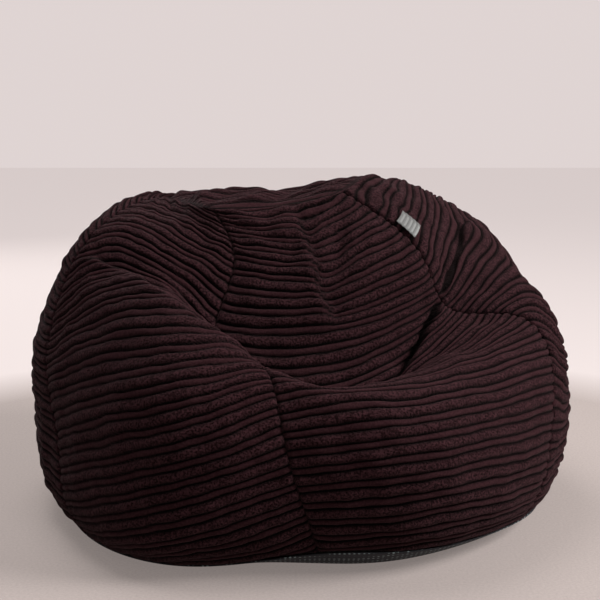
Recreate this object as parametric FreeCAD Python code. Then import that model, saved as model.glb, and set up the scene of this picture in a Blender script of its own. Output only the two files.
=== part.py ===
import FreeCAD, Part
import os
import math

V3 = FreeCAD.Vector

# ---------------------------------------------------------------- driving dimensions (mm)
WIDTH = 850.0              # overall width across the arms, as it lies
COVER_T = 3.0              # corduroy side and top panels, pile included
BASE_T = 2.0               # non-slip base fabric
LINER_DEPTH = 5.6          # outside of the cover to outside of the liner
LINER_T = 1.2              # liner fabric
FILL_DEPTH = 12.5          # outside of the cover to the bead filling
FILL_DEPTH_TOP = 13.5      # the same, under the top panel
SEAM_GAP = 0.5             # gap drawn between panels that are sewn together
COLUMN_APART = 110.0       # least distance from one column of the shape to the next
FLAT = 0.86                # part of the base outline that lies flat on the floor
LINER_FLOOR = 9.0          # underside of the liner above the floor
FILL_FLOOR = 15.0          # underside of the filling above the floor
COVER_ZIP_Y = 95.0         # where the cover zip crosses the base, behind the middle
COVER_ZIP_HALF = 210.0     # half the length of the cover zip
LINER_ZIP_Y = -60.0        # where the liner zip crosses the liner base
LINER_ZIP_HALF = 150.0     # half the length of the liner zip
ZIP_SLOT = 5.0             # half the width of the opening the zip fills
ZIP_END = 6.0              # from the end of the slot to the first tooth
TOOTH_PITCH = 5.0
TOOTH_TIP = 0.8            # from the middle of the zip to the tip of a tooth
TOOTH_ROOT = 2.4
BEAD_EDGE = 3.4            # outer edge of the bead that carries the teeth
TEETH_UNDER = 0.7          # teeth reach this far below the top of the fabric
TEETH_OVER = 1.9           # and this far above it
TAPE_NEAR = 3.5
TAPE_FAR = 17.0
TAPE_LIFT = 0.3
TAPE_T = 0.7
TAPE_END = 2.0
STOP_LONG = 3.5
STOP_HALF = 3.2
STOP_END = 1.2
SLIDER_PARK = 16.0         # middle of the slider from the end of the slot, when closed
SLIDER_X = 7.0             # half the length of the slider
SLIDER_Y = 4.2             # half its width
SLIDER_POST_X = 2.5
SLIDER_POST_Y = 0.4
SLIDER_GAP = 0.4           # from the teeth to the slider's plates
SLIDER_PLATE = 0.6
SLIDER_LIP = 0.5           # thickness of the lips that turn over the teeth

LABEL_AT = (2.03, 0.900)   # on the skin: round the columns, and up
LABEL_WIDE = 20.0
LABEL_TALL = 34.0
LABEL_PROUD = 0.8
LABEL_T = 0.8
CARE_AT = (6.02, 0.055)
CARE_WIDE = 25.0
CARE_TALL = 34.0
CARE_T = 0.5
LINER_LOW = 0.03           # the liner's side seams, as shares of the height of a panel
LINER_HIGH = 0.99
FOLD = (0.43, 0.75)        # where the side panels fold into the seat, as a share of their height
FILL_LOW = 0.03
FILL_HIGH = 0.985
FILL_SIDE = (0.05, 0.41)
FILL_BACK = (0.79, FILL_HIGH)
FILL_SHRINK = 0.16         # part of the filling's outline that is off the floor
CROWN_MIDDLE = 4.0         # how far the top panel's domed part stands over its middle
CROWN_SHARE = 0.35         # and how far the panel is drawn up towards that height
BASE_MIDDLE = 20.0         # height that the base's turned-up edge points towards

# ---------------------------------------------------------------- fineness of the curves
SWEEPS = 40                # passes that settle the slopes of a smooth curve
STEP_U = 0.02              # distances used to measure a direction on the skin
STEP_V = 0.004
MITRE = 0.05               # part of a panel's height over which its edge is mitred
PATCH_ACROSS = 7           # points across a panel, from one column to the next
PATCH_UP = 49              # points up a panel
RING_STEP = 0.25           # columns between the points of a closed outline
CAP_SHARES = (0.0, 0.12, 0.3, 0.5, 0.72)
CAP_FLAT = 0.93            # where the small flat at the middle of the top panel begins
EDGE_IN = 0.004            # keeps the top panel's rim just inside the side panels
SOLE_IN = 0.002            # keeps the base's rim just inside the side panels

# ---------------------------------------------------------------- the lounging shape
# One row per seam or panel middle, going round from the front seam by the right-hand arm.
# Each row climbs from the base seam to the top panel in ten steps.
DRAWN_WIDTH = 868.0
SHAPE = [
    # front seam
    [(25, -392, 32), (12, -416, 84), (-13, -432, 170), (-30, -410, 250), (-45, -360, 290),
     (-62, -290, 268), (-90, -222, 242), (-130, -165, 300), (-103, -95, 405), (-148, -20, 487)],
    # middle of the front right panel
    [(175, -371, 31), (195, -398, 80), (197, -413, 162), (180, -398, 230), (135, -360, 263),
     (105, -290, 240), (75, -225, 215), (50, -175, 300), (40, -115, 400), (-45, -15, 489)],
    # seam between front right and right panels
    [(338, -220, 26), (362, -228, 72), (381, -208, 155), (390, -165, 235), (380, -120, 290),
     (340, -100, 320), (275, -95, 322), (225, -95, 340), (180, -70, 430), (60, 0, 512)],
    # middle of the right panel
    [(386, 0, 14), (414, 0, 62), (434, 0, 150), (422, 0, 233), (393, 10, 315),
     (357, 30, 374), (313, 50, 419), (257, 45, 440), (196, 60, 488), (112, 95, 529)],
    # seam between right and back right panels
    [(330, 210, 15), (362, 215, 65), (378, 225, 155), (374, 220, 245), (356, 210, 325),
     (335, 200, 383), (308, 190, 428), (272, 190, 458), (232, 190, 483), (185, 200, 493)],
    # middle of the back right panel
    [(195, 335, 15), (215, 370, 65), (225, 388, 155), (225, 382, 240), (215, 365, 315),
     (205, 350, 362), (195, 335, 400), (180, 315, 430), (160, 300, 452), (140, 285, 468)],
    # back seam
    [(0, 385, 15), (0, 420, 65), (0, 440, 155), (10, 437, 235), (20, 428, 300),
     (30, 418, 338), (42, 405, 368), (55, 390, 392), (70, 375, 412), (80, 355, 430)],
    # middle of the back left panel
    [(-195, 335, 15), (-215, 370, 65), (-225, 390, 155), (-215, 392, 235), (-195, 390, 305),
     (-170, 387, 345), (-140, 380, 375), (-105, 370, 400), (-65, 362, 420), (-25, 352, 437)],
    # seam between back left and left panels
    [(-330, 200, 12), (-362, 215, 60), (-380, 225, 150), (-375, 235, 235), (-355, 250, 310),
     (-325, 265, 353), (-288, 285, 385), (-240, 305, 405), (-187, 325, 420), (-130, 340, 433)],
    # middle of the left panel
    [(-385, 0, 10), (-422, 0, 60), (-434, 0, 150), (-430, 10, 240), (-408, 30, 325),
     (-376, 55, 390), (-333, 92, 436), (-286, 138, 467), (-238, 197, 480), (-190, 255, 470)],
    # seam between left and front left panels
    [(-314, -248, 6), (-350, -240, 50), (-368, -205, 140), (-392, -150, 225), (-392, -120, 290),
     (-380, -100, 342), (-364, -80, 390), (-333, -50, 441), (-276, 52, 481), (-230, 165, 482)],
    # middle of the front left panel
    [(-152, -362, 4), (-196, -410, 50), (-207, -415, 150), (-212, -385, 255), (-217, -290, 343),
     (-217, -210, 385), (-205, -158, 374), (-208, -115, 400), (-190, -50, 448), (-188, 60, 488)],
]
STEPS = [0.0, 0.08, 0.20, 0.32, 0.43, 0.53, 0.63, 0.74, 0.88, 1.0]
TOP_MIDDLE = (-30, 180, 490)

PANELS = {
    "gore_front_right": (0, 2),
    "gore_right": (2, 4),
    "gore_back_right": (4, 6),
    "gore_back_left": (6, 8),
    "gore_left": (8, 10),
    "gore_front_left": (10, 12),
}

K = WIDTH / DRAWN_WIDTH


def slopes(x, p, closed):
    """Slopes of the smooth curve through the points p at the values x."""
    n = len(x)
    m = [V3() for _ in x]
    for _ in range(SWEEPS):
        for i in range(1, n - 1):
            h0 = x[i] - x[i - 1]
            h1 = x[i + 1] - x[i]
            pull = (p[i] - p[i - 1]) * (3 * h1 / h0) + (p[i + 1] - p[i]) * (3 * h0 / h1)
            m[i] = (pull - m[i - 1] * h1 - m[i + 1] * h0) * (0.5 / (h0 + h1))
        if closed:
            pull = (p[1] - p[-2]) * 3
            m[0] = (pull - m[-2] - m[1]) * 0.25
            m[-1] = m[0]
        else:
            m[0] = ((p[1] - p[0]) * (3 / (x[1] - x[0])) - m[1]) * 0.5
            m[-1] = ((p[-1] - p[-2]) * (3 / (x[-1] - x[-2])) - m[-2]) * 0.5
    return m


def between(x, p, m, at):
    """The point of that curve at one value."""
    k = 0
    while k < len(x) - 2 and at >= x[k + 1]:
        k += 1
    h = x[k + 1] - x[k]
    t = (at - x[k]) / h
    return (p[k] * (2 * t**3 - 3 * t**2 + 1) + m[k] * (h * (t**3 - 2 * t**2 + t))
            + p[k + 1] * (3 * t**2 - 2 * t**3) + m[k + 1] * (h * (t**3 - t**2)))


COLUMNS = [[V3(*p) * K for p in row] for row in SHAPE]
COLUMN_SLOPES = [slopes(STEPS, row, False) for row in COLUMNS]
ROUND = list(range(13))
rows_made = {}


def skin(u, v):
    """Outside of the bag: u counts round the columns, v climbs from base to top."""
    v = min(max(v, 0.0), 1.0)
    key = round(v, 6)
    if key not in rows_made:
        row = [between(STEPS, p, m, v) for p, m in zip(COLUMNS, COLUMN_SLOPES)]
        row.append(row[0])
        rows_made[key] = (row, slopes(ROUND, row, True))
    row, m = rows_made[key]
    return between(ROUND, row, m, u % 12.0)


def unit(v):
    return v * (1.0 / v.Length)


def inward(u, v):
    """Direction through the cover, mitred where a side meets the top and the base."""
    across = skin(u + STEP_U, v) - skin(u - STEP_U, v)
    up = skin(u, v + STEP_V) - skin(u, v - STEP_V)
    n = unit(across.cross(up))
    for end, face in ((1.0, V3(0, 0, 1)), (0.0, V3(0, 0, -1))):
        near = max(0.0, 1 - abs(v - end) / MITRE)
        mitre = (n + face) * (1 / (1 + max(n.dot(face), -0.2)))
        n = n * (1 - near) + mitre * near
    return n * -1


def layer(u, v, depth):
    """The skin moved through the cover by depth."""
    return skin(u, v) + inward(u, v) * depth


def spread(first, last, count):
    return [first + (last - first) * i / (count - 1) for i in range(count)]


def border(surface):
    """The four border curves of a curved sheet."""
    u0, u1, v0, v1 = surface.bounds()
    return [surface.uIso(u0), surface.uIso(u1), surface.vIso(v0), surface.vIso(v1)]


def thick_patch(us, vs, depth, thickness):
    """One sewn panel: a curved sheet with closed edges."""
    outer = Part.BSplineSurface()
    outer.interpolate([[layer(u, v, depth) for v in vs] for u in us])
    inner = Part.BSplineSurface()
    inner.interpolate([[layer(u, v, depth + thickness) for v in vs] for u in us])
    faces = [outer.toShape(), inner.toShape()]
    for a, b in zip(border(outer), border(inner)):
        faces.append(a.makeRuledSurface(b).toShape())
    shell = Part.makeShell([f for piece in faces for f in piece.Faces])
    shell.sewShape()
    solid = Part.makeSolid(shell)
    if solid.Volume < 0:
        solid.reverse()
    return solid


def gore(first, last, depth, thickness, low=0.0, high=1.0):
    """A side panel, or several side by side, stopping short of the seams by half the seam gap."""
    pinch = SEAM_GAP / 2 / COLUMN_APART
    us = spread(first + pinch, last - pinch, PATCH_ACROSS * (last - first) + 1)
    vs = spread(low, high, PATCH_UP)
    return thick_patch(us, vs, depth, thickness)


def loop(points):
    """A smooth closed outline."""
    curve = Part.BSplineCurve()
    curve.interpolate(points, PeriodicFlag=True)
    return Part.Wire(curve.toShape())


def stack(rings):
    """A closed solid through a list of closed outlines; the first and last are flat."""
    solid = Part.makeLoft([loop(r) for r in rings], True, True)
    if solid.Volume < 0:
        solid.reverse()
    return solid


AROUND = [i * RING_STEP for i in range(round(12 / RING_STEP))]


def ring(v, depth):
    """Points all round the bag at one height, under the skin."""
    return [layer(u, v, depth) for u in AROUND]


def towards(points, middle, share):
    """The points, drawn in towards a middle by a share of the way."""
    return [p + (middle - p) * share for p in points]


def flat_ring(points, z):
    return [V3(p.x, p.y, z) for p in points]


def cap_rings(depth, high=1.0):
    """Outlines from the rim of the top panel to a small flat at its middle."""
    middle = V3(*TOP_MIDDLE) * K - V3(0, 0, depth)
    rim = towards(ring(high, depth), middle, EDGE_IN)
    rings = []
    for share in CAP_SHARES:
        lift = CROWN_SHARE * math.sin(math.pi * share)
        outline = towards(rim, middle, share)
        rings.append([V3(p.x, p.y, p.z + (middle.z + CROWN_MIDDLE - p.z) * lift) for p in outline])
    rings.append(flat_ring(towards(rim, middle, CAP_FLAT), middle.z))
    return rings


def top_sheet(depth, thickness, high=1.0):
    """The six-sided top panel, slightly domed."""
    outside = cap_rings(depth, high)
    inside = cap_rings(depth + thickness, high)
    return stack(outside[::-1] + inside)


def base_sheet(depth, thickness, floor, low=0.0):
    """Flat in the middle, turned up to meet the side panels."""
    middle = V3(0, 0, BASE_MIDDLE)
    edge = towards(ring(low, depth), middle, SOLE_IN)
    top = towards(ring(low, depth + thickness), middle, SOLE_IN)
    flat = flat_ring(towards(edge, middle, 1 - FLAT), floor)
    flat_top = flat_ring(towards(flat, middle, EDGE_IN), floor + thickness)
    return stack([flat, edge, top, flat_top])


def box(x0, x1, y0, y1, z0, z1):
    return Part.makeBox(x1 - x0, y1 - y0, z1 - z0, V3(x0, y0, z0))


def halves(sheet, y, half_length):
    """The two parts of a base sheet on either side of its zip."""
    opened = sheet.cut(box(-half_length, half_length, y - ZIP_SLOT, y + ZIP_SLOT, -WIDTH, WIDTH))
    front = opened.common(box(-WIDTH, WIDTH, -WIDTH, y - SEAM_GAP / 2, -WIDTH, WIDTH))
    back = opened.common(box(-WIDTH, WIDTH, y + SEAM_GAP / 2, WIDTH, -WIDTH, WIDTH))
    return front, back


def comb(y, side, half_length, z0, z1):
    """One row of moulded zip teeth on its bead, as a single strip; the two rows are half a pitch apart."""
    start = -half_length + ZIP_END
    shift = 0.0 if side > 0 else TOOTH_PITCH / 2
    teeth = int((2 * half_length - 2 * ZIP_END - shift) / TOOTH_PITCH)
    outline = [(start, BEAD_EDGE), (start, TOOTH_ROOT)]
    for i in range(teeth):
        x = start + shift + i * TOOTH_PITCH
        end = x + TOOTH_PITCH / 2
        outline += [(x, TOOTH_ROOT), (x, TOOTH_TIP), (end, TOOTH_TIP), (end, TOOTH_ROOT)]
    outline += [(end, BEAD_EDGE), (start, BEAD_EDGE)]
    points = [V3(x, y + side * off, z0) for x, off in outline]
    clean = [p for p, q in zip(points, points[1:] + [None]) if q is None or p.distanceToPoint(q) > 1e-6]
    return Part.Face(Part.makePolygon(clean)).extrude(V3(0, 0, z1 - z0))


def strip(x0, x1, y, side, near, far, z0, z1):
    """A box beside the middle line of a zip."""
    y0, y1 = sorted((y + side * near, y + side * far))
    return box(x0, x1, y0, y1, z0, z1)


def slider(x, y, bottom, top):
    """The slider: a plate above the teeth and one below, a post, and lips turned over the edges."""
    x0, x1 = x - SLIDER_X, x + SLIDER_X
    low = bottom - SLIDER_GAP
    high = top + SLIDER_GAP
    body = box(x0, x1, y - SLIDER_Y, y + SLIDER_Y, low - SLIDER_PLATE, low)
    pieces = [box(x0, x1, y - SLIDER_Y, y + SLIDER_Y, high, high + SLIDER_PLATE),
              box(x - SLIDER_POST_X, x + SLIDER_POST_X, y - SLIDER_POST_Y, y + SLIDER_POST_Y, low, high)]
    for side in (-1, 1):
        inner = SLIDER_Y - SLIDER_LIP
        pieces.append(strip(x0, x1, y, side, inner, SLIDER_Y, low, low + 2 * SLIDER_GAP))
        pieces.append(strip(x0, x1, y, side, inner, SLIDER_Y, high - 2 * SLIDER_GAP, high))
    for piece in pieces:
        body = body.fuse(piece)
    return body.removeSplitter()


def zip_pieces(prefix, y, half_length, fabric_top):
    """Tapes, teeth, slider and end stops of one straight zip lying flat, closed."""
    bottom = fabric_top - TEETH_UNDER
    top = fabric_top + TEETH_OVER
    tape = fabric_top + TAPE_LIFT
    reach = half_length - TAPE_END
    out = {}
    for name, side in (("front", -1), ("back", 1)):
        out[prefix + "_zip_tape_" + name] = strip(-reach, reach, y, side, TAPE_NEAR, TAPE_FAR,
                                                  tape, tape + TAPE_T)
        out[prefix + "_zip_teeth_" + name] = comb(y, side, half_length, bottom, top)
    end = half_length - STOP_END
    for name, x in (("left", -end), ("right", end - STOP_LONG)):
        out[prefix + "_zip_stop_" + name] = box(x, x + STOP_LONG, y - STOP_HALF, y + STOP_HALF,
                                                bottom, top)
    out[prefix + "_zip_slider"] = slider(half_length - SLIDER_PARK, y, bottom, top)
    return out


def label(u, v, wide, tall, proud, thickness):
    """A small sewn-in tag lying on the cover beside one point of a seam."""
    p = layer(u, v, -proud)
    along = unit(layer(u, v + 0.01, -proud) - p)
    normal = unit((layer(u + 0.05, v, -proud) - p).cross(along))
    across = along.cross(normal)
    corners = [p - along * (tall / 2), p - along * (tall / 2) + across * wide,
               p + along * (tall / 2) + across * wide, p + along * (tall / 2)]
    wire = Part.makePolygon(corners + [corners[0]])
    return Part.Face(wire).extrude(normal * thickness)


def filling():
    """The heap of beads: flat underneath, following the liner everywhere else."""
    rings = [flat_ring(towards(ring(FILL_LOW, FILL_DEPTH), V3(), FILL_SHRINK), FILL_FLOOR)]
    for v in spread(*FILL_SIDE, 9) + spread(*FOLD, 17) + spread(*FILL_BACK, 6):
        rings.append(ring(v, FILL_DEPTH))
    return stack(rings + cap_rings(FILL_DEPTH_TOP, FILL_HIGH)[1:])


os.makedirs("parts", exist_ok=True)
nodes = {}

for name, (first, last) in PANELS.items():
    nodes[name] = gore(first, last, 0.0, COVER_T)
nodes["top_panel"] = top_sheet(0.0, COVER_T)

base = base_sheet(0.0, BASE_T, 0.0)
nodes["base_panel_front"], nodes["base_panel_back"] = halves(base, COVER_ZIP_Y, COVER_ZIP_HALF)
nodes.update(zip_pieces("cover", COVER_ZIP_Y, COVER_ZIP_HALF, BASE_T))
nodes["seam_label"] = label(*LABEL_AT, LABEL_WIDE, LABEL_TALL, LABEL_PROUD, LABEL_T)
nodes["care_label"] = label(*CARE_AT, CARE_WIDE, CARE_TALL, LABEL_PROUD, CARE_T)

nodes["liner_right"] = gore(0, 6, LINER_DEPTH, LINER_T, LINER_LOW, LINER_HIGH)
nodes["liner_left"] = gore(6, 12, LINER_DEPTH, LINER_T, LINER_LOW, LINER_HIGH)
nodes["liner_top"] = top_sheet(LINER_DEPTH, LINER_T, LINER_HIGH + 0.003)
liner_base = base_sheet(LINER_DEPTH, LINER_T, LINER_FLOOR, LINER_LOW - 0.006)
nodes["liner_base_front"], nodes["liner_base_back"] = halves(liner_base, LINER_ZIP_Y, LINER_ZIP_HALF)
nodes.update(zip_pieces("liner", LINER_ZIP_Y, LINER_ZIP_HALF, LINER_FLOOR + LINER_T))

nodes["bead_filling"] = filling()

for name, shape in nodes.items():
    room = shape.BoundBox
    state = "valid" if shape.isValid() else "NOT VALID"
    reach = [round(c, 1) for c in (room.XMin, room.XMax, room.YMin, room.YMax, room.ZMin, room.ZMax)]
    print(name, len(shape.Solids), state, round(shape.Volume), reach)
    shape.exportStep("parts/" + name + ".step")
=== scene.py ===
# %% [markdown]
# # A slumped corduroy bean bag
# The chair is a soft bag of beads in a sewn cover. Six long side panels, called gores, run from the base,
# up the outside, over the rim, down into the seat and up the back to a six-sided top panel. The CAD model
# fixes the size and place of every piece. This script makes what the eye sees: the wales of the cord, the
# seams that pull in, the creases and the fabrics.

# %% Load the frame
import math
import bpy
import bmesh
import numpy as np
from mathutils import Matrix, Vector


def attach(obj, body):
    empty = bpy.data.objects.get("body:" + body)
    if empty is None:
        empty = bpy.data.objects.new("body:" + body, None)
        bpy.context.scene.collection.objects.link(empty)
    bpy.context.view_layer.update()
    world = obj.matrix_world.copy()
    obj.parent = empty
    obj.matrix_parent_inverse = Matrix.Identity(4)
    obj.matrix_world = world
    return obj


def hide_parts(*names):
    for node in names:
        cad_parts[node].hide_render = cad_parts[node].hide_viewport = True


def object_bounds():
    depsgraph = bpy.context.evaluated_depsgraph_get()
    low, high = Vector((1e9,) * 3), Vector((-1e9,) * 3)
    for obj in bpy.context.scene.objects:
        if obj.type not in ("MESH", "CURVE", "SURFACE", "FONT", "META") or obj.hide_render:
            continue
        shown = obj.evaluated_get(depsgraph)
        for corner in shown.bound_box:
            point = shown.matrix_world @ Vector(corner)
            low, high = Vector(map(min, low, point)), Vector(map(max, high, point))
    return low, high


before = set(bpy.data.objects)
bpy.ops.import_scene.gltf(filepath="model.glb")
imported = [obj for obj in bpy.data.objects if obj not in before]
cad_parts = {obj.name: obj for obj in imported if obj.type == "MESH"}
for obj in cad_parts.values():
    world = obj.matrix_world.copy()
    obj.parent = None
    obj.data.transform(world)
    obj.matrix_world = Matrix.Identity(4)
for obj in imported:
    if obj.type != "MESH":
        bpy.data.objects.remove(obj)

CAD_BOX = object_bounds()
ROOT = "bean_bag"
ACROSS = CAD_BOX[1][0] - CAD_BOX[0][0]
print("bag is", round(ACROSS, 3), "m across in the CAD model")

# %% [markdown]
# ## Camera
# A longish lens a little above seat height, tipped down. It comes first, because every choice of scale in
# the finishes depends on how large a wale is in the finished view. Distances are given for a bag of unit
# size and scaled, so the view stays right if the bag grows.

# %% Place the camera
DRAWN_WIDTH = 0.868
WIDTH = 0.850
SCALE = WIDTH / DRAWN_WIDTH
camera_data = bpy.data.cameras.new("view")
camera_data.sensor_width = 36.0
camera_data.lens = 77.8
camera = bpy.data.objects.new("view", camera_data)
camera.location = (0.0, -2.10 * SCALE, 0.665 * SCALE)
camera.rotation_euler = (math.radians(90 - 9.2), 0, 0)
bpy.context.scene.collection.objects.link(camera)
bpy.context.scene.camera = camera
bpy.context.scene.view_settings.view_transform = "Standard"

# %% [markdown]
# ## The lounging shape
# The bag keeps the shape it was last sat in. Twelve columns of points go round it, one on every seam and
# one up the middle of every gore, each climbing from the base seam to the top panel. They are the same
# points as in the CAD model, in metres. A smooth curve runs through each column and another runs round
# the bag at every height, so two numbers, u round and v up, name any point of the skin.

# %% Points of the shape
SHAPE = np.array([
    # front seam
    [(25, -392, 32), (12, -416, 84), (-13, -432, 170), (-30, -410, 250), (-45, -360, 290),
     (-62, -290, 268), (-90, -222, 242), (-130, -165, 300), (-103, -95, 405), (-148, -20, 487)],
    # middle of the front right gore
    [(175, -371, 31), (195, -398, 80), (197, -413, 162), (180, -398, 230), (135, -360, 263),
     (105, -290, 240), (75, -225, 215), (50, -175, 300), (40, -115, 400), (-45, -15, 489)],
    # seam between front right and right gores
    [(338, -220, 26), (362, -228, 72), (381, -208, 155), (390, -165, 235), (380, -120, 290),
     (340, -100, 320), (275, -95, 322), (225, -95, 340), (180, -70, 430), (60, 0, 512)],
    # middle of the right gore
    [(386, 0, 14), (414, 0, 62), (434, 0, 150), (422, 0, 233), (393, 10, 315),
     (357, 30, 374), (313, 50, 419), (257, 45, 440), (196, 60, 488), (112, 95, 529)],
    # seam between right and back right gores
    [(330, 210, 15), (362, 215, 65), (378, 225, 155), (374, 220, 245), (356, 210, 325),
     (335, 200, 383), (308, 190, 428), (272, 190, 458), (232, 190, 483), (185, 200, 493)],
    # middle of the back right gore
    [(195, 335, 15), (215, 370, 65), (225, 388, 155), (225, 382, 240), (215, 365, 315),
     (205, 350, 362), (195, 335, 400), (180, 315, 430), (160, 300, 452), (140, 285, 468)],
    # back seam
    [(0, 385, 15), (0, 420, 65), (0, 440, 155), (10, 437, 235), (20, 428, 300),
     (30, 418, 338), (42, 405, 368), (55, 390, 392), (70, 375, 412), (80, 355, 430)],
    # middle of the back left gore
    [(-195, 335, 15), (-215, 370, 65), (-225, 390, 155), (-215, 392, 235), (-195, 390, 305),
     (-170, 387, 345), (-140, 380, 375), (-105, 370, 400), (-65, 362, 420), (-25, 352, 437)],
    # seam between back left and left gores
    [(-330, 200, 12), (-362, 215, 60), (-380, 225, 150), (-375, 235, 235), (-355, 250, 310),
     (-325, 265, 353), (-288, 285, 385), (-240, 305, 405), (-187, 325, 420), (-130, 340, 433)],
    # middle of the left gore
    [(-385, 0, 10), (-422, 0, 60), (-434, 0, 150), (-430, 10, 240), (-408, 30, 325),
     (-376, 55, 390), (-333, 92, 436), (-286, 138, 467), (-238, 197, 480), (-190, 255, 470)],
    # seam between left and front left gores
    [(-314, -248, 6), (-350, -240, 50), (-368, -205, 140), (-392, -150, 225), (-392, -120, 290),
     (-380, -100, 342), (-364, -80, 390), (-333, -50, 441), (-276, 52, 481), (-230, 165, 482)],
    # middle of the front left gore
    [(-152, -362, 4), (-196, -410, 50), (-207, -415, 150), (-212, -385, 255), (-217, -290, 343),
     (-217, -210, 385), (-205, -158, 374), (-208, -115, 400), (-190, -50, 448), (-188, 60, 488)],
], float) / 1000 * SCALE
STEPS = np.array([0.0, 0.08, 0.20, 0.32, 0.43, 0.53, 0.63, 0.74, 0.88, 1.0])
TOP_MIDDLE = np.array([-0.030, 0.180, 0.490]) * SCALE
GORES = {
    "gore_front_right": 0,
    "gore_right": 2,
    "gore_back_right": 4,
    "gore_back_left": 6,
    "gore_left": 8,
    "gore_front_left": 10,
}
print(len(SHAPE), "columns of", len(STEPS), "points")

# %% [markdown]
# ## Smooth curves
# A cubic runs between each two points. Its slopes are chosen so that the curve also bends smoothly
# through the points, which takes one small set of equations. A closed curve, round the bag, joins its
# last slope to its first.

# %% Smooth curves through points
def slopes(x, y, closed):
    """Slopes that make one smooth cubic curve through the points y at x."""
    n = len(x)
    a, b = np.eye(n), np.zeros_like(y)
    h = np.diff(x)
    for i in range(1, n - 1):
        a[i, i - 1:i + 2] = h[i], 2 * (h[i - 1] + h[i]), h[i - 1]
        b[i] = 3 * (h[i] / h[i - 1] * (y[i] - y[i - 1]) + h[i - 1] / h[i] * (y[i + 1] - y[i]))
    if closed:
        a[0, 0], a[0, 1], a[0, n - 2] = 4, 1, 1
        b[0] = 3 * (y[1] - y[-2])
        a[-1, 0] = -1
        b[-1] = 0
    else:
        a[0, :2], b[0] = (2, 1), 3 * (y[1] - y[0]) / h[0]
        a[-1, -2:], b[-1] = (1, 2), 3 * (y[-1] - y[-2]) / h[-1]
    return np.linalg.solve(a, b)


def curve(x, y, at, closed=False):
    """Points of that curve at the values in at. y may hold any number of columns."""
    x, at = np.asarray(x, float), np.asarray(at, float)
    y = np.asarray(y, float)
    flat = y.reshape(len(x), -1)
    m = slopes(x, flat, closed)
    k = np.clip(np.searchsorted(x, at, side="right") - 1, 0, len(x) - 2)
    h = (x[k + 1] - x[k])[:, None]
    t = ((at - x[k])[:, None]) / h
    out = ((2 * t**3 - 3 * t**2 + 1) * flat[k] + (t**3 - 2 * t**2 + t) * h * m[k]
           + (3 * t**2 - 2 * t**3) * flat[k + 1] + (t**3 - t**2) * h * m[k + 1])
    return out.reshape((len(at),) + y.shape[1:])


def skin(u, v):
    """Grid of points on the outside of the bag."""
    columns = curve(STEPS, SHAPE.transpose(1, 0, 2), np.clip(v, 0, 1)).transpose(1, 0, 2)
    columns = np.concatenate([columns, columns[:1]])
    return curve(np.arange(13.0), columns, np.mod(u, 12.0), closed=True)


print("front seam meets the rim at", skin([0.0], [0.43])[0, 0].round(3))


# %% [markdown]
# ## Helpers for grids
# Every sewn panel is a grid of points, so its neighbours, directions and distances are easy to find. A
# panel is closed with a second layer a little inside the first, because a single layer of faces has no
# thickness and shows through from behind.

# %% Directions and distances on a grid
def unit(v):
    return v / np.maximum(np.linalg.norm(v, axis=-1, keepdims=True), 1e-12)


def normals(grid):
    return unit(np.cross(np.gradient(grid, axis=0), np.gradient(grid, axis=1)))


def lengths(grid, axis):
    """Distance walked along one direction of the grid, starting at 0."""
    step = np.linalg.norm(np.diff(grid, axis=axis), axis=-1)
    walked = np.cumsum(step, axis=axis)
    start = np.zeros_like(np.take(walked, [0], axis=axis))
    return np.concatenate([start, walked], axis=axis)


def smooth(x, low=0.0, high=1.0):
    t = np.clip((x - low) / (high - low), 0, 1)
    return t * t * (3 - 2 * t)


def ripple(a, b, size, seed, waves=7):
    """Gentle unevenness from -1 to 1 over the two distances a and b, with bumps about size long."""
    dice = np.random.default_rng(seed)
    total = 0
    for _ in range(waves):
        turn, phase = dice.uniform(0, math.pi), dice.uniform(0, 2 * math.pi)
        pitch = size * dice.uniform(0.7, 1.6)
        total = total + np.sin((a * math.cos(turn) + b * math.sin(turn)) * 2 * math.pi / pitch + phase)
    return total / waves * 1.6

# %% [markdown]
# ## Meshes from grids
# Grids turn into quads with a few sums on their indices. Each closed panel also gets a flat map, front
# beside back, and marks: numbers kept at its points that a finish can read later.

# %% Turn grids into meshes
def grid_faces(rows, columns, offset=0, flip=False):
    i, j = np.meshgrid(np.arange(rows - 1), np.arange(columns - 1), indexing="ij")
    a = offset + i * columns + j
    quads = np.stack([a, a + columns, a + columns + 1, a + 1], axis=-1).reshape(-1, 4)
    return quads[:, ::-1] if flip else quads


def rim_faces(rows, columns):
    """Quads that join the borders of two equal grids, the second numbered after the first."""
    edge = ([i * columns for i in range(rows)]
            + [(rows - 1) * columns + j for j in range(1, columns)]
            + [i * columns + columns - 1 for i in range(rows - 2, -1, -1)]
            + [j for j in range(columns - 2, 0, -1)])
    edge = np.array(edge)
    after = np.roll(edge, -1)
    second = rows * columns
    return np.stack([edge, edge + second, after + second, after], axis=-1)


def make_piece(name, points, faces, uv=None, marks=None):
    mesh = bpy.data.meshes.new(name)
    mesh.from_pydata(points.tolist(), [], faces.tolist())
    mesh.shade_smooth()
    for mark, values in (marks or {}).items():
        mesh.attributes.new(mark, "FLOAT", "POINT").data.foreach_set("value", values.ravel())
    if uv is not None:
        layer = mesh.uv_layers.new(name="OFBake")
        corner = np.empty(len(mesh.loops), int)
        mesh.loops.foreach_get("vertex_index", corner)
        layer.data.foreach_set("uv", uv[corner].ravel())
    mesh.validate()
    piece = bpy.data.objects.new(name, mesh)
    bpy.context.scene.collection.objects.link(piece)
    return piece


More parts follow.
